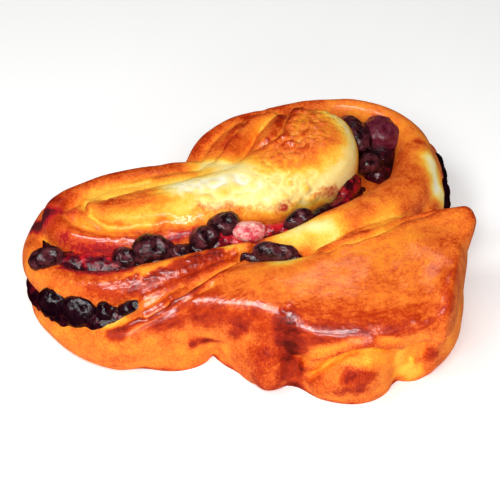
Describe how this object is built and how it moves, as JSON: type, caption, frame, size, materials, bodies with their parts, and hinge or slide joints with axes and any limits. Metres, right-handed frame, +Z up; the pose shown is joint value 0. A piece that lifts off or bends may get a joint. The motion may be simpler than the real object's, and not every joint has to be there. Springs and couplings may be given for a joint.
{
  "type": "cherry bun",
  "caption": "Rolled and folded sweet yeast bun, glazed and baked, with cherries and cherry jam showing in its grooves.",
  "frame": {"origin": "on the surface the bun stands on, under the middle of its box", "axes": "+X along the bun's longest extent, towards the end of the folded-over tail; +Y from the tail to the two lobes' back; +Z up"},
  "size_m": [0.148, 0.1264, 0.0425],
  "materials": {
    "dough": "satin",
    "filling": "gloss",
    "cherry": "gloss"
  },
  "bodies": {
    "root": {"dough": "dough", "filling_inner": "filling", "filling_left": "filling", "filling_right": "filling", "filling_seam": "filling", "cherry_groove_left_a": "cherry", "cherry_groove_left_b": "cherry", "cherry_groove_left_c": "cherry", "cherry_groove_left_d": "cherry", "cherry_groove_mid_a": "cherry", "cherry_groove_mid_b": "cherry", "cherry_groove_mid_c": "cherry", "cherry_groove_mid_d": "cherry", "cherry_seam": "cherry", "cherry_wall_left_a": "cherry", "cherry_wall_left_b": "cherry", "cherry_wall_left_c": "cherry", "cherry_wall_left_d": "cherry", "cherry_back_a": "cherry", "cherry_back_b": "cherry", "cherry_back_c": "cherry", "cherry_back_d": "cherry", "cherry_back_top": "cherry", "cherry_wall_right_a": "cherry", "cherry_wall_right_b": "cherry", "cherry_wall_rear_a": "cherry", "cherry_wall_rear_b": "cherry"}
  },
  "joints": []
}
